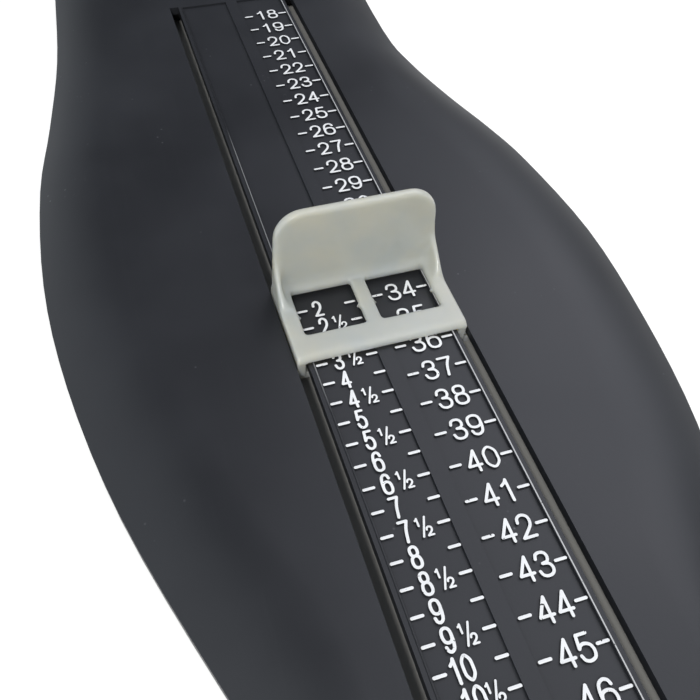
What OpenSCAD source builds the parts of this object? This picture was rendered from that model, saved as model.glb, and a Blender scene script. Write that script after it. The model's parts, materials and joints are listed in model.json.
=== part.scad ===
// Foot measuring device: a sole-shaped board with a heel cup, and a toe stop that
// slides along a raised shoe-size scale.
// X runs across the board, +Y points to the heel, +Z up. The origin is the middle of
// the footprint on the table. Distances called "from the heel" start at the inner
// face of the heel cup and grow towards the toe.

/* [Scale] */
// Length of one European size
eu_pitch = 6.667; // [6.5:0.001:6.8]
// Smallest European size
eu_first = 18; // [16:1:20]
// Largest European size
eu_last = 47; // [45:1:48]
// European size that the pointers of the stop are set to
eu_set = 34.35; // [33:0.05:36]
// Length of one US size
us_pitch = 8.855; // [8.4:0.005:8.9]
// Distance from the heel to US size 0
us_zero = 209.1; // [205:0.1:212]
// Smallest US size
us_first = 2; // [1:1:3]
// Largest US size
us_last = 12; // [10:1:12]
// Width of a scale mark
tick_w = 0.55; // [0.4:0.05:0.7]
// Length of a scale mark
tick_l = 2.25; // [2:0.05:3]
// Gap between the middle strip and the European marks beside it
eu_gap = 0.35; // [0.1:0.05:0.5]
// Height of the raised marks
relief_h = 0.4; // [0.2:0.05:0.45]

/* [Ruler] */
// Half width of the ruler between its two slots
ruler_half = 14.5; // [14:0.1:15.5]
// Width of each slot
slot_w = 2.3; // [2.1:0.1:3]
// Width of the raised strip between the two scales
strip_w = 3; // [2:0.2:4]
// Width of the land between a scale panel and its slot
land_w = 1.15; // [0.8:0.05:1.3]
// Depth of the sunk scale panels
panel_depth = 0.5; // [0.5:0.1:0.8]
// Width of the fine raised line along each land
line_w = 0.25; // [0.2:0.05:0.5]
// Height of that line
line_h = 0.15; // [0.1:0.05:0.2]
// Depth of the stiffening lip under each edge of the ruler
ruler_lip_h = 1.2; // [0.8:0.1:1.4]
// Thickness of that lip
ruler_lip_t = 1.8; // [1.4:0.1:2.4]

/* [Board] */
// Height of the flat top above the table
plate_top = 7; // [7:0.2:8]
// Thickness of the moulded plate
plate_t = 2; // [1.8:0.1:2.2]
// Height of the outer edge
rim_h = 2.2; // [2:0.1:3]
// Thickness of the outer edge
rim_t = 2; // [1.6:0.1:2.4]
// Width of the rounded border
border_w = 18; // [14:1:20]
// Width of the rounded border at the toe
toe_border_w = 8; // [7:0.5:8.5]
// Distance from the slots to the toe end
toe_margin = 12; // [11:0.2:14]
// Reach of the outer side at the ball of the foot
ball_outer = 58.8; // [57:0.2:60]
// Distance from the heel to that point
ball_outer_s = 202; // [198:1:206]
// Reach of the inner side at the ball of the foot
ball_inner = 55.7; // [54:0.2:57]
// Distance from the heel to that point
ball_inner_s = 217; // [213:1:221]
// Reach of the inner side at the waist
waist_inner = 39; // [38:0.2:41]
// Distance from the heel to the waist
waist_s = 128; // [124:1:132]
// Thickness of the ribs under the board
rib_t = 1.6; // [1.2:0.1:2]
// Distance of the long ribs from the middle of the ruler
rib_x = 19.4; // [19.4:0.2:22]
// Spacing of the cross ribs
rib_pitch = 43; // [36:1:50]

/* [Heel cup] */
// Radius of the inner face at the board
cup_r = 38; // [36:0.5:39]
// Sideways offset of the cup from the ruler
cup_x = -2; // [-3:0.5:0]
// Thickness of the wall at its foot
cup_t = 3; // [2.6:0.2:3.6]
// Thickness of the wall at its top
cup_top_t = 2.4; // [2:0.1:2.6]
// Height of the wall above the board
cup_h = 32; // [28:1:36]
// Outward lean of the wall, in degrees
cup_lean = 2; // [0:0.5:4]
// Radius of the fillet inside the foot of the wall
cup_fillet = 3; // [2:0.5:4]
// Radius of the swept-down ends of the wall
cup_sweep_r = 40; // [38:1:44]

/* [Stop] */
// Distance from the reading line to the front edge
front_reach = 10.6; // [10.2:0.1:11]
// Distance from the reading line to the rear edge
rear_reach = 9.2; // [9:0.1:10]
// Thickness of the frame
frame_t = 1.4; // [1.2:0.1:1.8]
// Width of the bar in front of the windows
front_bar = 5.8; // [5:0.1:6]
// Width of the bar between the windows
mullion_w = 3; // [2.6:0.1:3.6]
// Width of the bar outside each window
side_bar = 3.1; // [3:0.1:3.6]
// Length of the windows along the scale
window_l = 10.9; // [10:0.1:11]
// Height of the toe wall above the ruler
wall_h = 19.5; // [17:0.5:22]
// Thickness of the toe wall
wall_t = 1.9; // [1.7:0.1:2.2]
// Backward lean of the toe wall, in degrees
wall_lean = 1; // [0:0.5:3]
// Sideways taper of the toe wall, in degrees
wall_taper = 3; // [1:0.5:4]
// Radius of the two top corners of the toe wall
wall_corner_r = 5.5; // [4:0.5:7]
// Height at which the side cheeks run into the wall
cheek_h = 8.3; // [7:0.1:10]
// Radius of the fillets inside the toe wall
wall_fillet = 3; // [2:0.5:3.5]
// How far the foot fillet of the toe wall reaches towards the windows
foot_reach = 1.1; // [0.8:0.1:1.4]
// Size of the pointers beside the reading line
pointer_l = 0.7; // [0.4:0.1:0.9]
// Thickness of the legs that pass through the slots
leg_t = 1.7; // [1.5:0.1:1.8]
// Thickness of the keeper plate under the ruler
keeper_t = 1.5; // [1.3:0.1:1.6]

/* [Fits] */
// Running gap above and below the ruler
run_gap = 0.3; // [0.2:0.05:0.4]
// Gap between a leg and each end of its slot
end_gap = 0.3; // [0.2:0.05:0.5]
// Gap around the leg tongues in the keeper
tongue_gap = 0.05; // [0.02:0.01:0.1]

/* [Hidden] */
eps = 0.01;
big = 400;
black = [0.13, 0.135, 0.15];
foil = [0.93, 0.93, 0.93];
ivory = [0.83, 0.83, 0.79];

// Places along the scale, from the heel
read_s = eu_set * eu_pitch;
slot_start = eu_first * eu_pitch - rear_reach - end_gap;
slot_end = eu_last * eu_pitch + front_reach + end_gap;
toe_s = slot_end + toe_margin;
cup_s = cup_r;
cup_base_r = cup_r + cup_t;

// Places across the ruler
panel_in = strip_w / 2;
panel_out = ruler_half - land_w;

// Heights
under = plate_top - plate_t;
panel_z = plate_top - panel_depth;
lip_z = under - ruler_lip_h;
keeper_top = lip_z - run_gap;
keeper_z = keeper_top - keeper_t;
frame_z = plate_top + run_gap;
frame_top = frame_z + frame_t;
wall_top = plate_top + wall_h;

// Small things: smoothstep from 0 to 1 and a straight blend
function smooth(a, b, v) = let (u = min(1, max(0, (v - a) / (b - a)))) u * u * (3 - 2 * u);
function mix(a, b, u) = a + (b - a) * u;
function arc(c, r, a0, a1, n) = [for (i = [0:n]) let (a = mix(a0, a1, i / n)) c + r * [cos(a), sin(a)]];

// ---------- Outline of the board, as [x from the ruler, distance from the heel] ----------
// Shares of the way from the heel cup to the ball, and of the growth in width there
outer_rear = [[0.31, 0.2], [0.51, 0.36], [0.68, 0.63], [0.82, 0.89]];
inner_waist = [[0.45, 0.5]];
inner_rear = [[0.19, 0.1], [0.38, 0.35], [0.55, 0.63], [0.71, 0.83]];
// Shares of the way from the ball to the toe end, and of the width at the ball
outer_front = [[0.2, 0.968], [0.41, 0.876], [0.64, 0.71], [0.81, 0.56], [0.94, 0.375]];
inner_front = [[0.22, 0.973], [0.43, 0.903], [0.63, 0.77], [0.81, 0.615], [0.94, 0.42]];
toe_x = 2;
waist_bulge = 3;
side_steps = 4;
heel_steps = 26;

outer_start = cup_x - cup_base_r;
inner_start = cup_x + cup_base_r;
outer_side = concat(
    [[outer_start, cup_s]],
    [for (p = outer_rear) [mix(outer_start, -ball_outer, p[1]), mix(cup_s, ball_outer_s, p[0])]],
    [[-ball_outer, ball_outer_s]],
    [for (p = outer_front) [-ball_outer * p[1], mix(ball_outer_s, toe_s, p[0])]],
    [[toe_x, toe_s]]);
inner_side = concat(
    [[inner_start, cup_s]],
    [for (p = inner_waist)
        [mix(inner_start, waist_inner, p[0]) + waist_bulge * p[1], mix(cup_s, waist_s, p[0])]],
    [[waist_inner, waist_s]],
    [for (p = inner_rear) [mix(waist_inner, ball_inner, p[1]), mix(waist_s, ball_inner_s, p[0])]],
    [[ball_inner, ball_inner_s]],
    [for (p = inner_front) [ball_inner * p[1], mix(ball_inner_s, toe_s, p[0])]]);
n_inner = len(inner_side);
knots = concat(outer_side, [for (i = [n_inner - 1:-1:0]) inner_side[i]]);

// Smooth curve through the knots, leaving the heel arc and joining it again along Y
lead = [0, 25];
path = concat([knots[0] - lead], knots, [knots[len(knots) - 1] - lead]);
function spline(a, b, c, d, u) =
    0.5 * (2 * b + (c - a) * u + (2 * a - 5 * b + 4 * c - d) * u * u
        + (3 * b - a - 3 * c + d) * u * u * u);
sides = [for (k = [1:len(path) - 3]) for (j = [0:side_steps - 1])
    spline(path[k - 1], path[k], path[k + 1], path[k + 2], j / side_steps)];
heel_arc = [for (i = [0:heel_steps - 1])
    let (a = 180 * (i + 0.5) / heel_steps) [cup_x + cup_base_r * cos(a), cup_s - cup_base_r * sin(a)]];
outline = concat(sides, heel_arc);
n_out = len(outline);

// The footprint is centred on the origin
cup_out_s = cup_base_r - cup_s + cup_h * tan(cup_lean);
ruler_x = -(min([for (p = outline) p[0]]) + max([for (p = outline) p[0]])) / 2;
heel_y = (toe_s - cup_out_s) / 2;
function at(p) = [p[0] + ruler_x, heel_y - p[1]];

// Unit vector that points into the board at outline point i
function inward(i) =
    let (t = at(outline[(i + 1) % n_out]) - at(outline[(i + n_out - 1) % n_out])) [-t[1], t[0]] / norm(t);

// The border is narrow at the heel cup, where its wall hides it, and wide along the sides
border_power = 2.2;
heel_border_w = cup_t - 0.2;
function border(s) =
    mix(heel_border_w, border_w, smooth(cup_s + 2, cup_s + 52, s))
    - (border_w - toe_border_w) * smooth(toe_s - 48, toe_s - 8, s);
function top_z(s, d) = plate_top - (plate_top - rim_h) * pow(max(0, 1 - d / border(s)), border_power);

// The hollow underneath starts at the inside of the rim, which is thicker where the cup is let in
function rim(s) = mix(cup_t + rim_t, rim_t, smooth(cup_s + 2, cup_s + 52, s));
function hollow_border(s) = max(border(s), rim(s) + 5);
function hollow_edge_z(s) = min(top_z(s, rim(s)), plate_top - 1.2) - plate_t;

// Point that lies d inside the outline at its point i, at height z
function inset(i, d, z) = let (p = at(outline[i]) + inward(i) * d) [p[0], p[1], z];
// Rings of the top, and of the hollow, at a share u of the way over the border
function top_ring(u) = [for (i = [0:n_out - 1])
    let (s = outline[i][1], d = u * border(s)) inset(i, d, top_z(s, d))];
function hollow_ring(u) = [for (i = [0:n_out - 1])
    let (s = outline[i][1])
    inset(i, mix(rim(s), hollow_border(s), u), under - (under - hollow_edge_z(s)) * pow(1 - u, border_power))];
function foot_ring() = [for (i = [0:n_out - 1]) inset(i, 0, 0)];
function hollow_foot_ring() = [for (i = [0:n_out - 1]) inset(i, rim(outline[i][1]), -1)];

// Closed skin over a stack of rings, the lowest first, each counter-clockwise from above
module skin(rings) {
    n = len(rings[0]);
    last = len(rings) - 1;
    polyhedron(
        points = [for (r = rings) each r],
        faces = concat(
            [[for (i = [0:n - 1]) i]],
            [for (k = [0:last - 1]) for (i = [0:n - 1])
                let (a = k * n, b = a + n, j = (i + 1) % n) each [[a + i, b + i, b + j], [a + i, b + j, a + j]]],
            [[for (i = [n - 1:-1:0]) last * n + i]]),
        convexity = 6);
}

border_steps = [0, 0.1, 0.22, 0.36, 0.53, 0.74, 1];
module outer_form() {
    skin(concat([foot_ring()], [for (u = border_steps) top_ring(u)]));
}
module hollow_form() {
    skin(concat([hollow_foot_ring()], [for (u = border_steps) hollow_ring(u)]));
}

// Moves children from the scale frame: X across the ruler, Y = minus the distance from the heel
module on_ruler() {
    translate([ruler_x, heel_y, 0])
        children();
}
// A block between two distances from the heel
module block(x0, x1, s0, s1, z0, z1) {
    translate([x0, -s1, z0])
        cube([x1 - x0, s1 - s0, z1 - z0]);
}

// ---------- Board ----------
// A rib under the plate, moulded with draft: it narrows from its root to its foot at height z
rib_draft = 0.2;
module rib(x0, x1, s0, s1, z) {
    dx = x1 - x0 < s1 - s0 ? rib_draft : 0;
    ds = rib_draft - dx;
    hull() {
        block(x0, x1, s0, s1, under, plate_top - eps);
        block(x0 + dx, x1 - dx, s0 + ds, s1 - ds, z, z + eps);
    }
}

module ribs() {
    reach = max(ball_outer, ball_inner) + 10;
    channel_rear = slot_start - 6;
    channel_front = slot_end + 3;
    for (side = [-1, 1]) {
        // Long ribs beside the channel of the keeper plate
        mid = side * (rib_x + rib_t / 2);
        rib(mid - rib_t / 2, mid + rib_t / 2, 8, toe_s - 5, 0);
        // Lips under the edges of the ruler
        lip_mid = side * (ruler_half - ruler_lip_t / 2);
        rib(lip_mid - ruler_lip_t / 2, lip_mid + ruler_lip_t / 2, channel_rear, channel_front, lip_z);
        // Cross ribs from the long ribs to the rim
        for (s = [32:rib_pitch:toe_s - 20])
            rib(min(mid, side * reach), max(mid, side * reach), s, s + rib_t, 0);
    }
    // Cross ribs that close the channel behind and before the slots
    for (s = [32, channel_rear - rib_t, channel_front])
        rib(-rib_x - rib_t / 2, rib_x + rib_t / 2, s, s + rib_t, 0);
}

module slot(side) {
    mid = side * (ruler_half + slot_w / 2);
    block(mid - slot_w / 2, mid + slot_w / 2, slot_start, slot_end, -1, plate_top + 1);
}

module panel(side) {
    mid = side * (panel_in + panel_out) / 2;
    half = (panel_out - panel_in) / 2;
    block(mid - half, mid + half, slot_start + 0.5, slot_end - 0.5, panel_z, plate_top + 1);
}

module board() color(black) {
    difference() {
        outer_form();
        difference() {
            hollow_form();
            on_ruler() ribs();
        }
        on_ruler() {
            for (side = [-1, 1]) {
                slot(side);
                panel(side);
            }
            // Seat of the heel cup
            difference() {
                block(-big, big, -big, cup_s, -2, plate_top + 2);
                translate([cup_x, -cup_s, -3])
                    cylinder(r = cup_r, h = plate_top + 6, $fn = 180);
            }
        }
    }
}

// ---------- Heel cup ----------
cup_top = plate_top + cup_h;
cup_round = cup_top_t / 2;
cup_top_r = cup_base_r + cup_h * tan(cup_lean) - cup_round;
cup_profile = concat(
    [[cup_r, 0], [cup_base_r, 0], [cup_base_r, plate_top]],
    arc([cup_top_r, cup_top - cup_round], cup_round, -cup_lean, 180 - cup_lean, 10),
    arc([cup_r - cup_fillet, plate_top + cup_fillet], cup_fillet, 0, -90, 8),
    [[cup_r, plate_top]]);

module heel_cup() color(black) on_ruler() {
    sweep_s = cup_s + cup_sweep_r * 0.16;
    difference() {
        translate([cup_x, -cup_s, 0])
            rotate_extrude(angle = 180, $fn = 180)
                polygon(cup_profile);
        // The ends of the wall sweep down to the board
        translate([-big / 2, -sweep_s, plate_top + cup_sweep_r])
            rotate([0, 90, 0])
                cylinder(r = cup_sweep_r, h = big, $fn = 180);
    }
}

// ---------- Raised marks ----------
module tick(x0, s) {
    translate([x0, -s, panel_z])
        linear_extrude(relief_h) {
            translate([tick_w / 2, -tick_w / 2])
                square([tick_l - tick_w, tick_w]);
            for (x = [tick_w / 2, tick_l - tick_w / 2])
                translate([x, 0])
                    circle(d = tick_w, $fn = 16);
        }
}
// A mark at each end of every number: the left one starts at x0, the right one ends at x1
module ticks(x0, x1, places) {
    for (s = places) {
        tick(x0, s);
        tick(x1 - tick_l, s);
    }
}
tick_gap = 0.05;

module us_ticks() color(foil) on_ruler()
    ticks(-panel_out + tick_gap, -panel_in - tick_gap, [for (n = [us_first:0.5:us_last]) us_zero + us_pitch * n]);

module eu_ticks() color(foil) on_ruler()
    ticks(panel_in + eu_gap, panel_out - tick_gap, [for (n = [eu_first:eu_last]) eu_pitch * n]);

module edge_lines() color(foil) on_ruler()
    for (side = [-1, 1]) {
        mid = side * (panel_out + line_w / 2 + 0.1);
        block(mid - line_w / 2, mid + line_w / 2, slot_start + 0.5, slot_end - 0.5, plate_top, plate_top + line_h);
    }

// ---------- Toe stop ----------
leg_in = ruler_half + (slot_w - leg_t) / 2;
leg_out = leg_in + leg_t;
front_s = read_s + front_reach;
rear_s = read_s - rear_reach;
window_front = front_s - front_bar;
window_rear = window_front - window_l;
window_out = leg_out - side_bar;
window_in = mullion_w / 2;
tongue_inset = 2.6;
tongue_front = front_s - tongue_inset;
tongue_rear = rear_s + tongue_inset;

// Toe wall with its cheeks: at each height a U-shaped section, open to the front
edge_r = wall_t * 0.36;
cheek_edge = 1.1;
cheek_slope = 0.9;
scoop_h = 3.2;
fillet_steps = 6;
corner_steps = 4;
wall_face = window_rear - foot_reach;
// The wall starts inside the frame, and stands this little inside its sides
wall_inset = 0.05;
wall_start = frame_z + 0.4;

// Quarter of a round from 1 at height 0 down to 0 at height h
function flare(v, h) = 1 - sqrt(1 - pow(1 - min(1, max(0, v / h)), 2));
// How far the cheeks reach in front of the wall at height z
function cheek(z) = let (v = frame_top + cheek_h - 1.7 - z)
    max(0, cheek_slope * (v + sqrt(v * v + 1.2)) / 2 - 0.06) + flare(z - frame_top, 1);
// Top corners, rounded top edge, lean and taper
function corner(z) = let (h = z - (wall_top - wall_corner_r)) h <= 0 ? 0 :
    wall_corner_r - sqrt(max(0, wall_corner_r * wall_corner_r - h * h));
function thin(z) = let (h = z - (wall_top - edge_r)) h <= 0 ? 0 :
    edge_r - sqrt(max(0, edge_r * edge_r - h * h));
function lean(z) = max(0, z - frame_top) * tan(wall_lean);
function taper(z) = max(0, z - frame_top) * tan(wall_taper);

// Right half of the section, from the foot of the cheek round to the back
function half_section(z) =
    let (up = z - frame_top,
        half = leg_out - wall_inset - taper(z) - corner(z),
        plane = wall_face - lean(z),
        face = plane - thin(z) + (foot_reach + 0.2) * flare(up, wall_fillet),
        back = plane - wall_t + thin(z),
        tip = max(face, plane + cheek(z)),
        rise = tip - face,
        inner = half - mix(cheek_edge, side_bar + 0.2, flare(up, scoop_h)),
        soft = min(1, rise),
        front_r = min(0.45, (face - back) * 0.3),
        back_r = min(0.7, (face - back) * 0.4))
    concat(
        [for (p = arc([0, 0], 1, -90, 0, fillet_steps))
            [inner + wall_fillet * (p[0] - 1), face + min(wall_fillet, rise * 0.6) * (1 + p[1])]],
        [[inner + 0.12, tip - 0.25 * soft], [inner + 0.35, tip]],
        arc([half - front_r, tip - front_r], front_r, 90, 0, 2),
        arc([half - back_r, back + back_r], back_r, 0, -90, corner_steps));

function section(z) =
    let (half = half_section(z), n = len(half))
    concat(
        [for (i = [0:n - 1]) [half[i][0], -half[i][1], z]],
        [for (i = [n - 1:-1:0]) [-half[i][0], -half[i][1], z]]);

wall_low = [0, 0.01, 0.03, 0.06, 0.1, 0.16, 0.24, 0.32, 0.4, 0.47, 0.54, 0.62, 0.8, 1];
wall_high = [0.25, 0.45, 0.62, 0.76, 0.86, 0.94];
module toe_wall() {
    straight = wall_top - wall_corner_r;
    heights = concat(
        [wall_start],
        [for (u = wall_low) mix(frame_top, straight, u)],
        [for (u = wall_high) mix(straight, wall_top, u)],
        [wall_top - 0.12, wall_top]);
    skin([for (z = heights) section(z)]);
}

module frame() {
    front_r = 0.9 * frame_t;
    side_profile = concat(
        [[-front_s, frame_z], [-rear_s, frame_z], [-rear_s, frame_top]],
        arc([-front_s + front_r, frame_top - front_r], front_r, 90, 170, 8));
    translate([-leg_out, 0, 0])
        rotate([90, 0, 90])
            linear_extrude(2 * leg_out)
                polygon(side_profile);
}

module leg(side) {
    mid = side * (leg_in + leg_out) / 2;
    half = leg_t / 2;
    low = keeper_z - 1;
    block(mid - half, mid + half, rear_s, front_s - 0.2, keeper_top, frame_z + eps);
    // Tongue through the keeper, with a barb that snaps out under it
    block(mid - half, mid + half, tongue_rear, tongue_front, low, keeper_top + eps);
    barb = 0.5;
    translate([mid + side * half, -tongue_rear, 0])
        rotate([90, 0, 0])
            linear_extrude(tongue_front - tongue_rear)
                polygon([[-side * 0.4, low], [0, low], [side * barb, keeper_z - 0.4],
                    [side * barb, keeper_z - tongue_gap], [-side * 0.4, keeper_z - tongue_gap]]);
}

module pointer(x, dir) {
    translate([x, -read_s, frame_z])
        linear_extrude(frame_t * 0.6)
            polygon([[-dir * 0.3, 0.6], [-dir * 0.3, -0.6], [dir * pointer_l, 0]]);
}

module slider() color(ivory) on_ruler() {
    difference() {
        union() {
            frame();
            toe_wall();
            for (side = [-1, 1]) leg(side);
        }
        for (side = [-1, 1]) {
            mid = side * (window_in + window_out) / 2;
            half = (window_out - window_in) / 2;
            block(mid - half, mid + half, window_rear, window_front, frame_z - 1, frame_top + wall_h);
        }
    }
    for (side = [-1, 1]) {
        pointer(side * window_in, side);
        pointer(side * window_out, -side);
    }
}

module slider_keeper() color(ivory) on_ruler() {
    half = rib_x - 0.8;
    difference() {
        block(-half, half, rear_s + 1, front_s - 1, keeper_z, keeper_top);
        for (side = [-1, 1]) {
            mid = side * (leg_in + leg_out) / 2;
            grow = leg_t / 2 + tongue_gap;
            block(mid - grow, mid + grow, tongue_rear - tongue_gap, tongue_front + tongue_gap,
                keeper_z - 1, keeper_top + 1);
        }
    }
}

board();
heel_cup();
us_ticks();
eu_ticks();
edge_lines();
slider();
slider_keeper();
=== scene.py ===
"""Dresses the foot measuring board: a sole-shaped black board with a heel cup, raised white size
marks and numbers, and an ivory toe stop that slides along them."""

import json
import math

import bmesh
import bpy
from bpy.props import FloatProperty, FloatVectorProperty, IntProperty, PointerProperty
from mathutils import Matrix, Vector

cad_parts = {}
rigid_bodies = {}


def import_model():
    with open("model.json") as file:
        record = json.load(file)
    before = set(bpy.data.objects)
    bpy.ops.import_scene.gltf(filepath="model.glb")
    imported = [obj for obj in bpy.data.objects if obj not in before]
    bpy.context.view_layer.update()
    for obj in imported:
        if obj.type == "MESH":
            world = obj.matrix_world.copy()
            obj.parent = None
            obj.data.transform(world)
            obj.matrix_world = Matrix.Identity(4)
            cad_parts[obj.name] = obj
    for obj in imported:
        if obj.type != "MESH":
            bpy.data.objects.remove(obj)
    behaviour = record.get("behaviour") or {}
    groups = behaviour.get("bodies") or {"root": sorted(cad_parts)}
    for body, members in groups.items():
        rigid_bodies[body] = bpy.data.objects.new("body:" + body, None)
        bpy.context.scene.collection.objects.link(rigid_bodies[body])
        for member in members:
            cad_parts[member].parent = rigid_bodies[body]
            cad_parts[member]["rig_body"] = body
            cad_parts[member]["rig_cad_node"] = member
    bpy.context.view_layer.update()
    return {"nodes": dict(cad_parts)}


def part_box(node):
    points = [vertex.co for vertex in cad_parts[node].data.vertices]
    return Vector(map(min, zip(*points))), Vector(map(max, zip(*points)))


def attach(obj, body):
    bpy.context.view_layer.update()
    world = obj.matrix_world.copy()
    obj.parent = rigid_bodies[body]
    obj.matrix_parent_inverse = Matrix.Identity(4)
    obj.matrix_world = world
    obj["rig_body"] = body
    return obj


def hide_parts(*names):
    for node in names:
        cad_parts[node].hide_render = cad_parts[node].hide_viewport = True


bl_info = {
    "name": "Foot Measuring Board",
    "version": (1, 0, 0),
    "blender": (4, 5, 0),
    "location": "3D View > Sidebar > Foot Board",
    "description": "Builds the finished surfaces, numbers and toe stop of a foot measuring board",
    "category": "Object",
}

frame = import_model()

MM = 0.001
US_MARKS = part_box("us_ticks")
EU_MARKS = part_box("eu_ticks")
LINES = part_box("edge_lines")
RULER_X = (LINES[0].x + LINES[1].x) / 2
RELIEF_LOW = EU_MARKS[0].z
RELIEF_TOP = EU_MARKS[1].z
EU_FIRST, EU_LAST = 18, 47
US_FIRST, US_LAST = 2, 12
SAME_PLACE = 2e-6

# Left edges of the digits and half signs, from the middle of the ruler
EU_DIGITS_X = (4.9 * MM, 8.05 * MM)
US_ONE_DIGIT_X = (-10.05 * MM,)
US_TWO_DIGITS_X = (-10.75 * MM, -8.8 * MM)
HALF_SIGN_X = -7.25 * MM
HALF_SIGN_SHIFT = 0.5 * MM
HALF_SIGN_WIDTH = 2.45 * MM

# Height of the toe wall over the stop's frame, and how far up its extra smoothing starts
WALL_HEIGHT = 19.5 * MM
WALL_MARGIN = 0.3 * MM

# Stretch of the left line that keeps some foil, from European size 36, and how softly it ends
FADED_FROM, FADED_TO, FADED_SOFT = -6 * MM, 68 * MM, 5 * MM

BOARD_RUB = (0.10, 0.105, 0.115)
BOARD_DUST = (0.30, 0.31, 0.33)
STOP_DUST = (0.36, 0.35, 0.31)

# The camera's own axes
CAMERA_RIGHT = Vector((0.9517, -0.3051, 0.0340))
CAMERA_UP = Vector((0.2160, 0.7443, 0.6320))
CAMERA_AHEAD = Vector((0.2181, 0.5942, -0.7742))

# Each lamp's name, its place from the middle of the view in metres, its size, colour and power
LAMPS = (
    ("ceiling light", (-0.565, -1.22, 1.24), 0.2, (1.0, 0.98, 0.94), "ceiling_power"),
    ("spot light", (0.285, -0.25, 0.92), 0.04, (1.0, 0.98, 0.95), "spot_power"),
    ("window light", (0.75, 0.50, 0.95), 1.0, (0.90, 0.91, 1.0), "window_power"),
)
SKY_COLOUR = (0.88, 0.94, 1.0, 1.0)
TABLE_SIZE = 12


# ---------- Sizes and colours that a user may change ----------
class BoardSizes(bpy.types.PropertyGroup):
    """Sizes of the scales, the numbers and the softened edges"""

    eu_pitch: FloatProperty(
        name="European Size", description="Length of one European size",
        default=6.667 * MM, min=0.006, max=0.007, precision=5, unit="LENGTH")
    us_pitch: FloatProperty(
        name="US Size", description="Length of one US size",
        default=8.855 * MM, min=0.008, max=0.009, precision=5, unit="LENGTH")
    mark_width: FloatProperty(
        name="Mark Width", description="Width of a raised scale mark",
        default=0.55 * MM, min=0.0003, max=0.0008, precision=5, unit="LENGTH")
    eu_height: FloatProperty(
        name="European Number Height", description="Height of a European number",
        default=4.4 * MM, min=0.003, max=0.006, precision=5, unit="LENGTH")
    eu_width: FloatProperty(
        name="European Digit Width", description="Width of one digit of a European number",
        default=2.7 * MM, min=0.0015, max=0.004, precision=5, unit="LENGTH")
    us_height: FloatProperty(
        name="US Number Height", description="Height of a US number",
        default=4.0 * MM, min=0.003, max=0.0044, precision=5, unit="LENGTH")
    us_width: FloatProperty(
        name="US Digit Width", description="Width of one digit of a US number",
        default=1.9 * MM, min=0.0015, max=0.003, precision=5, unit="LENGTH")
    stroke: FloatProperty(
        name="Stroke", description="Width of the strokes of the numbers",
        default=0.50 * MM, min=0.0003, max=0.0008, precision=5, unit="LENGTH")
    fine_stroke: FloatProperty(
        name="Fine Stroke", description="Width of the strokes of the half signs",
        default=0.34 * MM, min=0.0002, max=0.0006, precision=5, unit="LENGTH")
    crisp_edge: FloatProperty(
        name="Mark Edge", description="Rounding of the top edges of marks and numbers",
        default=0.06 * MM, min=0.00002, max=0.0001, precision=5, unit="LENGTH")
    board_edge: FloatProperty(
        name="Board Edge", description="Rounding of the edges of the black board",
        default=0.16 * MM, min=0.00005, max=0.0004, precision=5, unit="LENGTH")
    stop_grid: FloatProperty(
        name="Stop Grid", description="Size of the faces that the toe stop is rebuilt from",
        default=0.24 * MM, min=0.0002, max=0.0005, precision=5, unit="LENGTH")
    stop_softness: IntProperty(
        name="Stop Softness", description="How often the faces of the toe stop are evened out",
        default=7, min=0, max=60)


class BoardColours(bpy.types.PropertyGroup):
    """Colours of the plastics, the foil and the table"""

    board_dark: FloatVectorProperty(
        name="Board Dark", description="Darker tone of the board's black plastic",
        subtype="COLOR", size=3, min=0, max=1, default=(0.0125, 0.0135, 0.0170))
    board_light: FloatVectorProperty(
        name="Board Light", description="Lighter tone of the board's black plastic",
        subtype="COLOR", size=3, min=0, max=1, default=(0.0190, 0.0205, 0.0250))
    foil: FloatVectorProperty(
        name="Foil", description="White foil on the raised marks",
        subtype="COLOR", size=3, min=0, max=1, default=(0.86, 0.87, 0.88))
    ivory_warm: FloatVectorProperty(
        name="Ivory Warm", description="Warmer tone of the toe stop",
        subtype="COLOR", size=3, min=0, max=1, default=(0.530, 0.520, 0.450))
    ivory_cool: FloatVectorProperty(
        name="Ivory Cool", description="Cooler tone of the toe stop",
        subtype="COLOR", size=3, min=0, max=1, default=(0.455, 0.478, 0.462))
    table: FloatVectorProperty(
        name="Table", description="Table under the board, as it shows in the slots",
        subtype="COLOR", size=3, min=0, max=1, default=(0.36, 0.36, 0.35))


class StageSizes(bpy.types.PropertyGroup):
    """The camera and the lamps"""

    lens: FloatProperty(
        name="Lens", description="Focal length of the camera in millimetres",
        default=42.77, min=20, max=100)
    camera_place: FloatVectorProperty(
        name="Camera Place", description="Camera from the table under European size 36",
        subtype="TRANSLATION", size=3, unit="LENGTH", default=(-0.0395, -0.0888, 0.1249))
    daylight: FloatProperty(
        name="Daylight", description="Strength of the light from all round, less from the heel",
        default=0.42, min=0, max=3)
    ceiling_power: FloatProperty(
        name="Ceiling Power", description="Power in watts of the lamp above the toe end",
        default=18.5, min=0, max=50)
    spot_power: FloatProperty(
        name="Spot Power", description="Power in watts of the small lamp that makes the highlights",
        default=0.7, min=0, max=10)
    window_power: FloatProperty(
        name="Window Power", description="Power in watts of the wide lamp on the European side",
        default=7.5, min=0, max=50)


# ---------- Selecting, copying and finishing meshes ----------
def pick(piece):
    """Makes a piece the only selected and the active object."""
    bpy.ops.object.select_all(action="DESELECT")
    piece.select_set(True)
    bpy.context.view_layer.objects.active = piece
    return piece


def name_piece(piece, name):
    piece.name = name
    piece.data.name = name
    return piece


def finish_with(piece, kind, **settings):
    """Adds a modifier with these settings and applies it."""
    pick(piece)
    bpy.ops.object.modifier_add(type=kind)
    modifier = piece.modifiers[-1]
    for key, value in settings.items():
        setattr(modifier, key, value)
    bpy.ops.object.modifier_apply(modifier=modifier.name)


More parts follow.
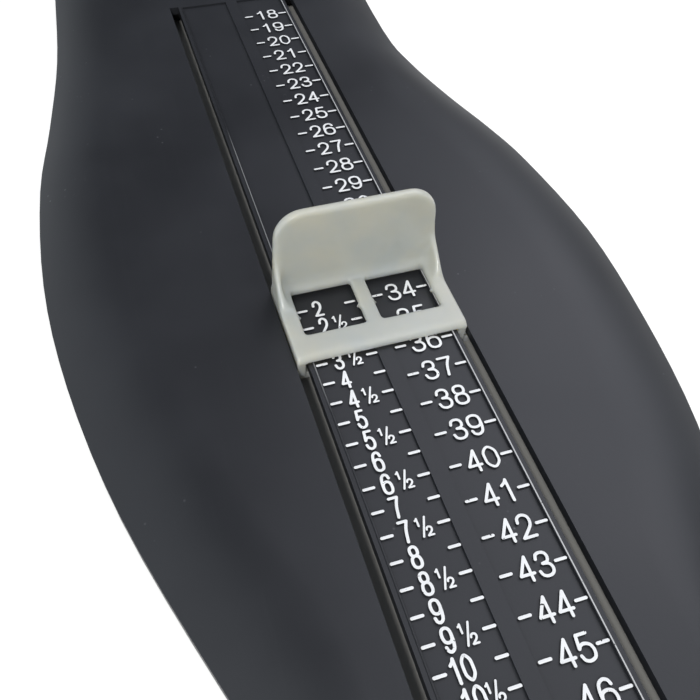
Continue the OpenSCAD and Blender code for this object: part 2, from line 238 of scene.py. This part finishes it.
def merged_copy(node, name, flat_angle=0.2):
    """A copy of a CAD node with its triangles merged into whole faces."""
    pick(frame["nodes"][node])
    bpy.ops.object.duplicate()
    piece = name_piece(bpy.context.object, name)
    piece.parent = None
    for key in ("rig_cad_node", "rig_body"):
        del piece[key]
    piece.data.materials.clear()
    bpy.ops.object.mode_set(mode="EDIT")
    bpy.ops.mesh.customdata_custom_splitnormals_clear()
    bpy.ops.mesh.select_all(action="SELECT")
    bpy.ops.mesh.remove_doubles(threshold=SAME_PLACE)
    bpy.ops.mesh.dissolve_limited(angle_limit=math.radians(flat_angle))
    bpy.ops.object.mode_set(mode="OBJECT")
    return piece


def round_edges(piece, width):
    """Rounds the sharp edges and keeps broad faces evenly shaded."""
    finish_with(
        piece, "BEVEL", width=width, segments=2, limit_method="ANGLE",
        angle_limit=math.radians(40), use_clamp_overlap=True)
    pick(piece)
    bpy.ops.object.shade_smooth_by_angle(angle=math.radians(50))
    finish_with(piece, "WEIGHTED_NORMAL", keep_sharp=True, weight=60)


def soften_top_edges(piece, top, width):
    """Bevels the rim round each top face at one height."""
    pick(piece)
    bpy.ops.object.mode_set(mode="EDIT")
    bpy.ops.mesh.select_mode(type="EDGE")
    bpy.ops.mesh.select_all(action="DESELECT")
    shape = bmesh.from_edit_mesh(piece.data)
    for edge in shape.edges:
        ups = [face for face in edge.link_faces if face.normal.z > 0.7]
        on_rim = len(edge.link_faces) == 2 and len(ups) == 1
        if on_rim and all(abs(vertex.co.z - top) < SAME_PLACE for vertex in edge.verts):
            edge.select_set(True)
    bmesh.update_edit_mesh(piece.data)
    bpy.ops.mesh.bevel(offset=width, segments=2, clamp_overlap=True)
    bpy.ops.object.mode_set(mode="OBJECT")
    bpy.ops.object.shade_smooth_by_angle(angle=math.radians(35))


def join(pieces, name):
    """Joins several pieces into one."""
    pick(pieces[0])
    for piece in pieces[1:]:
        piece.select_set(True)
    bpy.ops.object.join()
    return name_piece(bpy.context.object, name)


def unite(pieces):
    """Makes one closed solid from strokes that overlap."""
    body = pieces[0]
    for other in pieces[1:]:
        finish_with(body, "BOOLEAN", operation="UNION", solver="EXACT", object=other)
        bpy.data.objects.remove(other, do_unlink=True)
    return body


def settle(piece, body, slot, *nodes):
    """Attaches a finished piece to its CAD body and hides the CAD nodes that it stands for. The
    slot is not used.
    """
    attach(piece, body)
    if nodes:
        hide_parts(*nodes)


# ---------- Raised numbers ----------
def curve_through(points, closed=False, steps=7):
    """Smooth line through points, given as shares of a digit's width and height."""
    places = [Vector(p) for p in points]
    if len(places) == 2:
        return places
    count = len(places)
    if closed:
        around = [places[-1]] + places + places[:2]
    else:
        around = [2 * places[0] - places[1]] + places + [2 * places[-1] - places[-2]]
    line = []
    for k in range(1, count + 1 if closed else count):
        a, b, c, d = around[k - 1:k + 3]
        for i in range(steps):
            u = i / steps
            line.append(0.5 * (
                2 * b + (c - a) * u + (2 * a - 5 * b + 4 * c - d) * u ** 2
                + (3 * b - a - 3 * c + d) * u ** 3))
    if not closed:
        line.append(places[-1])
    return line


def sideways(line, i, closed):
    """Unit vector to the left of a line at its point i."""
    last = len(line) - 1
    before = line[i - 1] if closed or i > 0 else line[0]
    after = line[(i + 1) % len(line)] if closed or i < last else line[last]
    way = (after - before).normalized()
    return Vector((-way.y, way.x))


def raise_outline(outline, hole=None):
    """A raised solid from a closed outline in the panel's plane; a hole has as many points."""
    bpy.ops.object.select_all(action="DESELECT")
    bpy.ops.mesh.primitive_circle_add(
        vertices=len(outline), radius=MM, fill_type="NOTHING" if hole else "NGON")
    piece = bpy.context.object
    for vertex, place in zip(piece.data.vertices, outline):
        vertex.co = (place.x, place.y, RELIEF_LOW)
    bpy.ops.object.mode_set(mode="EDIT")
    bpy.ops.mesh.select_all(action="SELECT")
    if hole:
        bpy.ops.mesh.extrude_edges_move()
        shape = bmesh.from_edit_mesh(piece.data)
        for vertex, place in zip((v for v in shape.verts if v.select), hole):
            vertex.co = (place.x, place.y, RELIEF_LOW)
        bmesh.update_edit_mesh(piece.data)
        bpy.ops.mesh.select_all(action="SELECT")
    relief = (0, 0, RELIEF_TOP - RELIEF_LOW)
    bpy.ops.mesh.extrude_region_move(TRANSFORM_OT_translate={"value": relief})
    bpy.ops.mesh.select_all(action="SELECT")
    bpy.ops.mesh.normals_make_consistent(inside=False)
    bpy.ops.object.mode_set(mode="OBJECT")
    return piece


def stroke_solid(points, closed, width, height, stroke):
    """One stroke of a digit as a raised bar with round ends, or as a raised ring."""
    inner_w, inner_h = width - stroke, height - stroke
    line = [
        Vector((stroke / 2 + p.x * inner_w, (p.y - 0.5) * inner_h))
        for p in curve_through(points, closed)]
    half = stroke / 2
    if closed:
        outside = [p - half * sideways(line, i, True) for i, p in enumerate(line)]
        inside = [p + half * sideways(line, i, True) for i, p in enumerate(line)]
        return raise_outline(outside, inside)
    last = len(line) - 1
    right = [p - half * sideways(line, i, False) for i, p in enumerate(line)]
    left = [p + half * sideways(line, i, False) for i, p in enumerate(line)]
    cap_steps = 8

    def cap(centre, start):
        reach = start - centre
        return [
            centre + Matrix.Rotation(math.pi * k / cap_steps, 2) @ reach
            for k in range(1, cap_steps)]

    return raise_outline(right + cap(line[last], right[last]) + left[::-1] + cap(line[0], left[0]))


# Centre lines of the strokes, as shares of the digit's width and height; True marks a ring
DIGITS = {
    "0": [
        (True, [
            (0.5, 0), (0.93, 0.2), (1, 0.5), (0.93, 0.8),
            (0.5, 1), (0.07, 0.8), (0, 0.5), (0.07, 0.2)])],
    "1": [
        (False, [(0.64, 0), (0.64, 1)]),
        (False, [(0.64, 1), (0.5, 0.88), (0.2, 0.76)])],
    "2": [
        (False, [
            (0.03, 0.7), (0.13, 0.9), (0.48, 1), (0.85, 0.9),
            (0.95, 0.7), (0.83, 0.47), (0.42, 0.22), (0.02, 0)]),
        (False, [(0.02, 0), (1, 0)])],
    "3": [
        (False, [
            (0.04, 0.77), (0.17, 0.94), (0.47, 1), (0.8, 0.94),
            (0.92, 0.76), (0.78, 0.58), (0.4, 0.53)]),
        (False, [
            (0.4, 0.53), (0.83, 0.47), (1, 0.27), (0.85, 0.07),
            (0.48, 0), (0.14, 0.07), (0, 0.25)])],
    "4": [
        (False, [(0.74, 0), (0.74, 1)]),
        (False, [(0.74, 1), (0, 0.27)]),
        (False, [(0, 0.27), (1, 0.27)])],
    "5": [
        (False, [(0.2, 1), (0.9, 1)]),
        (False, [(0.2, 1), (0.06, 0.5)]),
        (False, [
            (0.06, 0.5), (0.24, 0.61), (0.52, 0.645), (0.87, 0.55), (1, 0.32),
            (0.87, 0.09), (0.48, 0), (0.14, 0.07), (0, 0.25)])],
    "6": [
        (True, [
            (0.5, 0), (0.88, 0.08), (1, 0.31), (0.88, 0.54),
            (0.5, 0.62), (0.12, 0.54), (0, 0.31), (0.12, 0.08)]),
        (False, [(0, 0.31), (0.03, 0.62), (0.18, 0.89), (0.52, 1), (0.83, 0.94), (0.95, 0.78)])],
    "7": [
        (False, [(0.02, 1), (1, 1)]),
        (False, [(1, 1), (0.62, 0.56), (0.4, 0)])],
    "8": [
        (True, [
            (0.5, 0), (0.87, 0.07), (1, 0.27), (0.87, 0.48),
            (0.5, 0.55), (0.13, 0.48), (0, 0.27), (0.13, 0.07)]),
        (True, [
            (0.5, 0.55), (0.82, 0.61), (0.92, 0.775), (0.82, 0.94),
            (0.5, 1), (0.18, 0.94), (0.08, 0.775), (0.18, 0.61)])],
    "9": [
        (True, [
            (0.5, 1), (0.12, 0.92), (0, 0.69), (0.12, 0.46),
            (0.5, 0.38), (0.88, 0.46), (1, 0.69), (0.88, 0.92)]),
        (False, [(1, 0.69), (0.97, 0.38), (0.82, 0.11), (0.48, 0), (0.17, 0.06), (0.05, 0.22)])],
}


def digit_solid(digit, width, height, stroke):
    """One raised digit whose left edge stands at x = 0 and whose middle stands at y = 0."""
    strokes = [stroke_solid(points, ring, width, height, stroke) for ring, points in DIGITS[digit]]
    return unite(strokes)


def half_solid(width, height, stroke):
    """The raised half sign: a small 1, a slanted line and a small 2."""
    slash = stroke_solid([(0.22, 0), (0.78, 1)], False, width, height, stroke)
    one = digit_solid("1", width * 0.42, height * 0.46, stroke)
    two = digit_solid("2", width * 0.5, height * 0.5, stroke)
    for small, x, y in ((one, -width * 0.06, height * 0.27), (two, width * 0.52, -height * 0.25)):
        small.data.transform(Matrix.Translation((x, y, 0)))
    return unite([slash, one, two])


def placed_copy(pattern, x, y):
    """A copy of a raised digit with its own mesh, moved to its place on the ruler."""
    pick(pattern)
    bpy.ops.object.duplicate()
    piece = bpy.context.object
    piece.data.transform(Matrix.Translation((RULER_X + x, y, 0)))
    return piece


def drop(patterns):
    for pattern in patterns:
        bpy.data.objects.remove(pattern, do_unlink=True)


# ---------- Shared shader node groups ----------
def new_group(name, inputs, outputs):
    """An empty shader group of float sockets, with each input given as name and default."""
    group = bpy.data.node_groups.new(name, "ShaderNodeTree")
    for label, value in inputs:
        socket = group.interface.new_socket(
            name=label, in_out="INPUT", socket_type="NodeSocketFloat")
        socket.default_value = value
    for label in outputs:
        group.interface.new_socket(name=label, in_out="OUTPUT", socket_type="NodeSocketFloat")
    return group, group.nodes.new("NodeGroupInput"), group.nodes.new("NodeGroupOutput")


def ramp(nodes, links, value, low, high, to_low=0.0, to_high=1.0):
    """Maps a value from one range to another, held within it."""
    node = nodes.new("ShaderNodeMapRange")
    node.clamp = True
    links.new(value, node.inputs["Value"])
    for key, number in (
            ("From Min", low), ("From Max", high), ("To Min", to_low), ("To Max", to_high)):
        node.inputs[key].default_value = number
    return node.outputs["Result"]


def calculate(nodes, links, operation, first, second):
    node = nodes.new("ShaderNodeMath")
    node.operation = operation
    for socket, value in zip(node.inputs, (first, second)):
        if isinstance(value, (int, float)):
            socket.default_value = value
        else:
            links.new(value, socket)
    return node.outputs["Value"]


def moulded_grain():
    """Fine spark-eroded grain of a mould, and wide soft clouds in the plastic."""
    group, given, result = new_group(
        "Moulded Grain", [("Grain Scale", 3000.0), ("Cloud Scale", 30.0)], ["Height", "Clouds"])
    nodes, links = group.nodes, group.links
    place = nodes.new("ShaderNodeTexCoord").outputs["Object"]
    grain = nodes.new("ShaderNodeTexNoise")
    grain.inputs["Detail"].default_value = 2.0
    links.new(place, grain.inputs["Vector"])
    links.new(given.outputs["Grain Scale"], grain.inputs["Scale"])
    clouds = nodes.new("ShaderNodeTexNoise")
    clouds.inputs["Detail"].default_value = 3.0
    links.new(place, clouds.inputs["Vector"])
    links.new(given.outputs["Cloud Scale"], clouds.inputs["Scale"])
    links.new(grain.outputs["Fac"], result.inputs["Height"])
    links.new(ramp(nodes, links, clouds.outputs["Fac"], 0.35, 0.65), result.inputs["Clouds"])
    return group


def dust_and_rubs():
    """Sparse pale dust specks, and fine rub marks along the way that the stop slides."""
    group, given, result = new_group(
        "Dust And Rubs", [("Speck Scale", 600.0), ("Rub Scale", 900.0)], ["Specks", "Rubs"])
    nodes, links = group.nodes, group.links
    place = nodes.new("ShaderNodeTexCoord").outputs["Object"]
    cells = nodes.new("ShaderNodeTexVoronoi")
    links.new(place, cells.inputs["Vector"])
    links.new(given.outputs["Speck Scale"], cells.inputs["Scale"])
    where = nodes.new("ShaderNodeTexNoise")
    where.inputs["Scale"].default_value = 90.0
    links.new(place, where.inputs["Vector"])
    core = ramp(nodes, links, cells.outputs["Distance"], 0.05, 0.14, 1.0, 0.0)
    few = ramp(nodes, links, where.outputs["Fac"], 0.60, 0.70)
    links.new(calculate(nodes, links, "MULTIPLY", core, few), result.inputs["Specks"])
    along = nodes.new("ShaderNodeMapping")
    along.inputs["Scale"].default_value = (1.0, 0.03, 1.0)
    links.new(place, along.inputs["Vector"])
    streaks = nodes.new("ShaderNodeTexNoise")
    streaks.inputs["Detail"].default_value = 3.0
    links.new(along.outputs["Vector"], streaks.inputs["Vector"])
    links.new(given.outputs["Rub Scale"], streaks.inputs["Scale"])
    links.new(ramp(nodes, links, streaks.outputs["Fac"], 0.58, 0.74), result.inputs["Rubs"])
    return group


def foil_face():
    """1 on faces that look up, where the foil was pressed on, with small worn gaps."""
    group, given, result = new_group(
        "Foil Face", [("Gap Scale", 1500.0), ("Gaps", 0.72)], ["Foil"])
    nodes, links = group.nodes, group.links
    facing = nodes.new("ShaderNodeSeparateXYZ")
    links.new(nodes.new("ShaderNodeNewGeometry").outputs["Normal"], facing.inputs["Vector"])
    up = ramp(nodes, links, facing.outputs["Z"], 0.55, 0.85)
    patches = nodes.new("ShaderNodeTexNoise")
    links.new(nodes.new("ShaderNodeTexCoord").outputs["Object"], patches.inputs["Vector"])
    links.new(given.outputs["Gap Scale"], patches.inputs["Scale"])
    gap = calculate(nodes, links, "GREATER_THAN", patches.outputs["Fac"], given.outputs["Gaps"])
    links.new(calculate(nodes, links, "SUBTRACT", up, gap), result.inputs["Foil"])
    return group


# ---------- Materials ----------
def new_material(name):
    material = bpy.data.materials.new(name)
    material.use_nodes = True
    nodes, links = material.node_tree.nodes, material.node_tree.links
    return material, nodes, links, nodes["Principled BSDF"]


def add_group(nodes, kind, **values):
    node = nodes.new("ShaderNodeGroup")
    node.node_tree = bpy.data.node_groups[kind]
    for key, value in values.items():
        node.inputs[key.replace("_", " ")].default_value = value
    return node


def blend_colours(nodes, links, mask, first, second):
    """Mixes two colours, each a value or a socket, by a mask."""
    node = nodes.new("ShaderNodeMix")
    node.data_type = "RGBA"
    links.new(mask, node.inputs["Factor"])
    for socket, colour in ((node.inputs["A"], first), (node.inputs["B"], second)):
        if isinstance(colour, bpy.types.NodeSocket):
            links.new(colour, socket)
        else:
            socket.default_value = (*colour, 1.0)
    return node.outputs["Result"]


def add_bump(nodes, links, shader, height, strength, distance):
    bump = nodes.new("ShaderNodeBump")
    bump.inputs["Strength"].default_value = strength
    bump.inputs["Distance"].default_value = distance
    links.new(height, bump.inputs["Height"])
    links.new(bump.outputs["Normal"], shader.inputs["Normal"])


def black_plastic(colours):
    material, nodes, links, shader = new_material("black satin plastic")
    grain = add_group(nodes, "Moulded Grain", Grain_Scale=2600.0, Cloud_Scale=26.0)
    dust = add_group(nodes, "Dust And Rubs", Speck_Scale=520.0, Rub_Scale=1100.0)
    plain = blend_colours(
        nodes, links, grain.outputs["Clouds"], colours.board_dark, colours.board_light)
    rub = calculate(nodes, links, "MULTIPLY", dust.outputs["Rubs"], 0.012)
    rubbed = blend_colours(nodes, links, rub, plain, BOARD_RUB)
    speck = calculate(nodes, links, "MULTIPLY", dust.outputs["Specks"], 0.25)
    dusty = blend_colours(nodes, links, speck, rubbed, BOARD_DUST)
    links.new(dusty, shader.inputs["Base Color"])
    rough = ramp(nodes, links, grain.outputs["Clouds"], 0.0, 1.0, 0.40, 0.48)
    links.new(calculate(nodes, links, "ADD", rough, rub), shader.inputs["Roughness"])
    add_bump(nodes, links, shader, grain.outputs["Height"], 0.25, 0.03 * MM)
    return material


def white_foil(colours, name="white foil", cover=1.0, near=None):
    """White foil on the top faces and bare black plastic below. Cover is the share of the foil that
    is left, and near fades it out along the ruler."""
    material, nodes, links, shader = new_material(name)
    foil = add_group(nodes, "Foil Face", Gap_Scale=1500.0, Gaps=0.72)
    mask = calculate(nodes, links, "MULTIPLY", foil.outputs["Foil"], cover)
    if near:
        place = nodes.new("ShaderNodeSeparateXYZ")
        links.new(nodes.new("ShaderNodeTexCoord").outputs["Object"], place.inputs["Vector"])
        toe, heel, fade = near
        above = ramp(nodes, links, place.outputs["Y"], toe - fade, toe + fade)
        below = ramp(nodes, links, place.outputs["Y"], heel - fade, heel + fade, 1.0, 0.0)
        stretch = calculate(nodes, links, "MULTIPLY", above, below)
        mask = calculate(nodes, links, "MULTIPLY", mask, stretch)
    grain = add_group(nodes, "Moulded Grain", Grain_Scale=4000.0, Cloud_Scale=260.0)
    dull_foil = tuple(0.93 * share for share in colours.foil)
    pale = blend_colours(nodes, links, grain.outputs["Clouds"], colours.foil, dull_foil)
    foiled = blend_colours(nodes, links, mask, colours.board_dark, pale)
    links.new(foiled, shader.inputs["Base Color"])
    links.new(ramp(nodes, links, mask, 0.0, 1.0, 0.46, 0.34), shader.inputs["Roughness"])
    add_bump(nodes, links, shader, grain.outputs["Height"], 0.2, 0.02 * MM)
    return material


def ivory_plastic(colours):
    material, nodes, links, shader = new_material("milky ivory plastic")
    grain = add_group(nodes, "Moulded Grain", Grain_Scale=1800.0, Cloud_Scale=70.0)
    dust = add_group(nodes, "Dust And Rubs", Speck_Scale=700.0)
    milk = blend_colours(
        nodes, links, grain.outputs["Clouds"], colours.ivory_warm, colours.ivory_cool)
    speck = calculate(nodes, links, "MULTIPLY", dust.outputs["Specks"], 0.12)
    dusty = blend_colours(nodes, links, speck, milk, STOP_DUST)
    links.new(dusty, shader.inputs["Base Color"])
    rough = ramp(nodes, links, grain.outputs["Clouds"], 0.0, 1.0, 0.20, 0.26)
    links.new(rough, shader.inputs["Roughness"])
    shader.inputs["Subsurface Weight"].default_value = 0.85
    shader.inputs["Subsurface Radius"].default_value = (1.0, 0.92, 0.72)
    shader.inputs["Subsurface Scale"].default_value = 5 * MM
    add_bump(nodes, links, shader, grain.outputs["Height"], 0.12, 0.03 * MM)
    return material


def white_table(colours):
    """Table that the camera and reflections see as plain white, with painted shade under and beside
    the board, where ambient occlusion takes that glow away.
    """
    material, nodes, links, shader = new_material("white table")
    grain = add_group(nodes, "Moulded Grain", Grain_Scale=900.0, Cloud_Scale=8.0)
    dull_table = tuple(0.985 * share for share in colours.table)
    tone = blend_colours(nodes, links, grain.outputs["Clouds"], colours.table, dull_table)
    links.new(tone, shader.inputs["Base Color"])
    shader.inputs["Roughness"].default_value = 0.7
    shader.inputs["Emission Color"].default_value = (1, 1, 1, 1)
    path = nodes.new("ShaderNodeLightPath")
    seen = calculate(
        nodes, links, "MAXIMUM", path.outputs["Is Camera Ray"], path.outputs["Is Glossy Ray"])
    seen = calculate(nodes, links, "MAXIMUM", seen, path.outputs["Is Transmission Ray"])
    # Painted shade: the white glow is taken away where ambient occlusion is strong, so the table
    # shows darker under the board and in its slots
    open_sky = nodes.new("ShaderNodeAmbientOcclusion")
    open_sky.inputs["Distance"].default_value = 60 * MM
    clear = ramp(nodes, links, open_sky.outputs["AO"], 0.30, 0.50)
    glow = calculate(nodes, links, "MULTIPLY", seen, clear)
    lift = calculate(nodes, links, "MULTIPLY", glow, 0.75)
    links.new(lift, shader.inputs["Emission Strength"])
    return material


def material_for(piece, *materials):
    piece.data.materials.clear()
    for material in materials:
        piece.data.materials.append(material)


# ---------- Operators ----------
class FOOTBOARD_OT_finishes(bpy.types.Operator):
    """Makes the node groups and the materials"""

    bl_idname = "footboard.finishes"
    bl_label = "Make Finishes"

    def execute(self, context):
        colours = context.scene.footboard_colours
        for build in (moulded_grain, dust_and_rubs, foil_face):
            build()
        black_plastic(colours)
        white_foil(colours)
        white_foil(colours, "thin foil", cover=0.6)
        eu_36 = eu_place(context.scene.footboard_sizes, 36)
        white_foil(
            colours, "faded foil", cover=0.2,
            near=(eu_36 + FADED_FROM, eu_36 + FADED_TO, FADED_SOFT))
        ivory_plastic(colours)
        white_table(colours)
        return {"FINISHED"}


class FOOTBOARD_OT_board(bpy.types.Operator):
    """Finishes the sole-shaped black board with rounded edges and even shading"""

    bl_idname = "footboard.board"
    bl_label = "Board"

    def execute(self, context):
        sizes = context.scene.footboard_sizes
        piece = merged_copy("board", "board_moulding", flat_angle=0.1)
        round_edges(piece, sizes.board_edge)
        material_for(piece, bpy.data.materials["black satin plastic"])
        settle(piece, "base", "black_plastic", "board")
        return {"FINISHED"}


class FOOTBOARD_OT_heel_cup(bpy.types.Operator):
    """Finishes the upright wall that the heel stands against"""

    bl_idname = "footboard.heel_cup"
    bl_label = "Heel Cup"

    def execute(self, context):
        sizes = context.scene.footboard_sizes
        piece = merged_copy("heel_cup", "heel_cup_wall")
        round_edges(piece, 1.5 * sizes.board_edge)
        material_for(piece, bpy.data.materials["black satin plastic"])
        settle(piece, "base", "black_plastic", "heel_cup")
        return {"FINISHED"}


class FOOTBOARD_OT_marks(bpy.types.Operator):
    """Finishes the raised scale marks and the fine lines along the panels with white foil"""

    bl_idname = "footboard.marks"
    bl_label = "Scale Marks"

    def execute(self, context):
        sizes = context.scene.footboard_sizes
        foil = bpy.data.materials["white foil"]
        for node, name in (("us_ticks", "us_marks"), ("eu_ticks", "eu_marks")):
            piece = merged_copy(node, name)
            soften_top_edges(piece, RELIEF_TOP, sizes.crisp_edge)
            material_for(piece, foil)
            settle(piece, "base", "white_foil", node)
        piece = merged_copy("edge_lines", "panel_lines")
        soften_top_edges(piece, LINES[1].z, 0.5 * sizes.crisp_edge)
        material_for(piece, bpy.data.materials["thin foil"], bpy.data.materials["faded foil"])
        for face in piece.data.polygons:
            face.material_index = 1 if face.center.x < RULER_X else 0
        settle(piece, "base", "white_foil", "edge_lines")
        return {"FINISHED"}


def eu_place(sizes, size):
    """Y of a European mark. The mark of the last size is the one at the toe end of its node."""
    return EU_MARKS[0].y + sizes.mark_width / 2 + (EU_LAST - size) * sizes.eu_pitch


def us_place(sizes, size):
    """Y of a US mark, counted from the last size in the same way."""
    return US_MARKS[0].y + sizes.mark_width / 2 + (US_LAST - size) * sizes.us_pitch


class FOOTBOARD_OT_eu_numbers(bpy.types.Operator):
    """Makes the raised European numbers from rounded strokes"""

    bl_idname = "footboard.eu_numbers"
    bl_label = "European Numbers"

    def execute(self, context):
        sizes = context.scene.footboard_sizes
        digits = {d: digit_solid(d, sizes.eu_width, sizes.eu_height, sizes.stroke) for d in DIGITS}
        for pattern in digits.values():
            soften_top_edges(pattern, RELIEF_TOP, sizes.crisp_edge)
        copies = []
        for size in range(EU_FIRST, EU_LAST + 1):
            y = eu_place(sizes, size)
            for digit, x in zip(str(size), EU_DIGITS_X):
                copies.append(placed_copy(digits[digit], x, y))
        numbers = join(copies, "eu_numbers")
        drop(digits.values())
        material_for(numbers, bpy.data.materials["white foil"])
        settle(numbers, "base", "white_foil")
        return {"FINISHED"}


class FOOTBOARD_OT_us_numbers(bpy.types.Operator):
    """Makes the raised US numbers and half signs from rounded strokes"""

    bl_idname = "footboard.us_numbers"
    bl_label = "US Numbers"

    def execute(self, context):
        sizes = context.scene.footboard_sizes
        digits = {d: digit_solid(d, sizes.us_width, sizes.us_height, sizes.stroke) for d in DIGITS}
        half = half_solid(HALF_SIGN_WIDTH, 0.9 * sizes.us_height, sizes.fine_stroke)
        for pattern in [*digits.values(), half]:
            soften_top_edges(pattern, RELIEF_TOP, 0.8 * sizes.crisp_edge)
        copies = []
        for step in range(2 * US_FIRST, 2 * US_LAST + 1):
            size = step / 2
            y = us_place(sizes, size)
            words = str(int(size))
            single = len(words) == 1
            for digit, x in zip(words, US_ONE_DIGIT_X if single else US_TWO_DIGITS_X):
                copies.append(placed_copy(digits[digit], x, y))
            if step % 2:
                shift = 0.0 if single else HALF_SIGN_SHIFT
                copies.append(placed_copy(half, HALF_SIGN_X + shift, y))
        numbers = join(copies, "us_numbers")
        drop([*digits.values(), half])
        material_for(numbers, bpy.data.materials["white foil"])
        settle(numbers, "base", "white_foil")
        return {"FINISHED"}


class FOOTBOARD_OT_stop(bpy.types.Operator):
    """Rebuilds the toe stop with soft, flowing edges, and finishes the keeper under it"""

    bl_idname = "footboard.stop"
    bl_label = "Toe Stop"

    def execute(self, context):
        sizes = context.scene.footboard_sizes
        ivory = bpy.data.materials["milky ivory plastic"]
        piece = merged_copy("slider", "toe_stop")
        finish_with(piece, "REMESH", mode="VOXEL", voxel_size=sizes.stop_grid, adaptivity=0.0)
        finish_with(piece, "SMOOTH", factor=0.5, iterations=sizes.stop_softness)
        # The wall and its cheeks are evened out again, and the frame's pointers stay crisp
        wall = piece.vertex_groups.new(name="toe wall")
        wall_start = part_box("slider")[1].z - WALL_HEIGHT + WALL_MARGIN
        for vertex in piece.data.vertices:
            rise = (vertex.co.z - wall_start) / MM
            if rise > 0:
                wall.add([vertex.index], min(1.0, rise), "REPLACE")
        finish_with(
            piece, "SMOOTH", factor=0.5, iterations=3 * sizes.stop_softness,
            vertex_group=wall.name)
        pick(piece)
        bpy.ops.object.shade_smooth()
        material_for(piece, ivory)
        settle(piece, "stop", "ivory_plastic", "slider")
        keeper = merged_copy("slider_keeper", "stop_keeper")
        round_edges(keeper, sizes.board_edge)
        material_for(keeper, ivory)
        settle(keeper, "stop", "ivory_plastic", "slider_keeper")
        return {"FINISHED"}


class FOOTBOARD_OT_stage(bpy.types.Operator):
    """Sets the board on a white table, with soft light and the camera"""

    bl_idname = "footboard.stage"
    bl_label = "Stage"

    def execute(self, context):
        scene = context.scene
        sizes, stage = scene.footboard_sizes, scene.footboard_stage
        bpy.ops.object.select_all(action="DESELECT")
        bpy.ops.mesh.primitive_plane_add(size=TABLE_SIZE, location=(0, 0, 0))
        table = name_piece(bpy.context.object, "table")
        material_for(table, bpy.data.materials["white table"])
        world = bpy.data.worlds.new("even daylight")
        world.use_nodes = True
        nodes, links = world.node_tree.nodes, world.node_tree.links
        background = nodes["Background"]
        background.inputs["Color"].default_value = SKY_COLOUR
        # The room is brighter towards the toe end, and brightest on the US side
        way = nodes.new("ShaderNodeSeparateXYZ")
        links.new(nodes.new("ShaderNodeTexCoord").outputs["Generated"], way.inputs["Vector"])
        toe_side = ramp(nodes, links, way.outputs["Y"], -0.3, 0.6, 1.1, 0.2)
        us_side = ramp(nodes, links, way.outputs["X"], -0.5, -0.08, 1.8, 0.0)
        share = calculate(nodes, links, "MAXIMUM", toe_side, us_side)
        strength = calculate(nodes, links, "MULTIPLY", share, stage.daylight)
        links.new(strength, background.inputs["Strength"])
        scene.world = world
        focus = Vector((RULER_X, eu_place(sizes, 36), 0))
        for name, place, size, colour, power in LAMPS:
            bpy.ops.object.light_add(type="AREA", location=focus + Vector(place))
            lamp = bpy.context.object
            lamp.name = name
            lamp.data.name = name
            lamp.data.shape = "SQUARE"
            lamp.data.size = size
            lamp.data.energy = getattr(stage, power)
            lamp.data.color = colour
            lamp.rotation_euler = (-Vector(place)).to_track_quat("-Z", "Y").to_euler()
        place = focus + Vector(stage.camera_place)
        bpy.ops.object.camera_add(location=place)
        camera = bpy.context.object
        camera.data.lens = stage.lens
        turn = Matrix((CAMERA_RIGHT, CAMERA_UP, -CAMERA_AHEAD)).transposed().to_4x4()
        camera.matrix_world = Matrix.Translation(place) @ turn
        camera.data.clip_start = 0.005
        camera.data.clip_end = 50
        scene.camera = camera
        scene.view_settings.view_transform = "Standard"
        return {"FINISHED"}


class FOOTBOARD_PT_panel(bpy.types.Panel):
    """Sizes, colours and steps of the foot measuring board"""

    bl_idname = "FOOTBOARD_PT_panel"
    bl_label = "Foot Board"
    bl_space_type = "VIEW_3D"
    bl_region_type = "UI"
    bl_category = "Foot Board"

    def draw(self, context):
        scene = context.scene
        for group in (scene.footboard_sizes, scene.footboard_colours, scene.footboard_stage):
            box = self.layout.box()
            for key in group.__annotations__:
                box.prop(group, key)
        for step in STEPS:
            self.layout.operator(step.bl_idname)


GROUPS = (BoardSizes, BoardColours, StageSizes)
STEPS = (
    FOOTBOARD_OT_finishes, FOOTBOARD_OT_board, FOOTBOARD_OT_heel_cup, FOOTBOARD_OT_marks,
    FOOTBOARD_OT_eu_numbers, FOOTBOARD_OT_us_numbers, FOOTBOARD_OT_stop, FOOTBOARD_OT_stage)


def register():
    for kind in (*GROUPS, *STEPS, FOOTBOARD_PT_panel):
        bpy.utils.register_class(kind)
    bpy.types.Scene.footboard_sizes = PointerProperty(type=BoardSizes)
    bpy.types.Scene.footboard_colours = PointerProperty(type=BoardColours)
    bpy.types.Scene.footboard_stage = PointerProperty(type=StageSizes)


def unregister():
    del bpy.types.Scene.footboard_stage
    del bpy.types.Scene.footboard_colours
    del bpy.types.Scene.footboard_sizes
    for kind in reversed((*GROUPS, *STEPS, FOOTBOARD_PT_panel)):
        bpy.utils.unregister_class(kind)


def main():
    register()
    bpy.ops.footboard.finishes()
    bpy.ops.footboard.board()
    bpy.ops.footboard.heel_cup()
    bpy.ops.footboard.marks()
    bpy.ops.footboard.eu_numbers()
    bpy.ops.footboard.us_numbers()
    bpy.ops.footboard.stop()
    bpy.ops.footboard.stage()


if __name__ == "__main__":
    main()
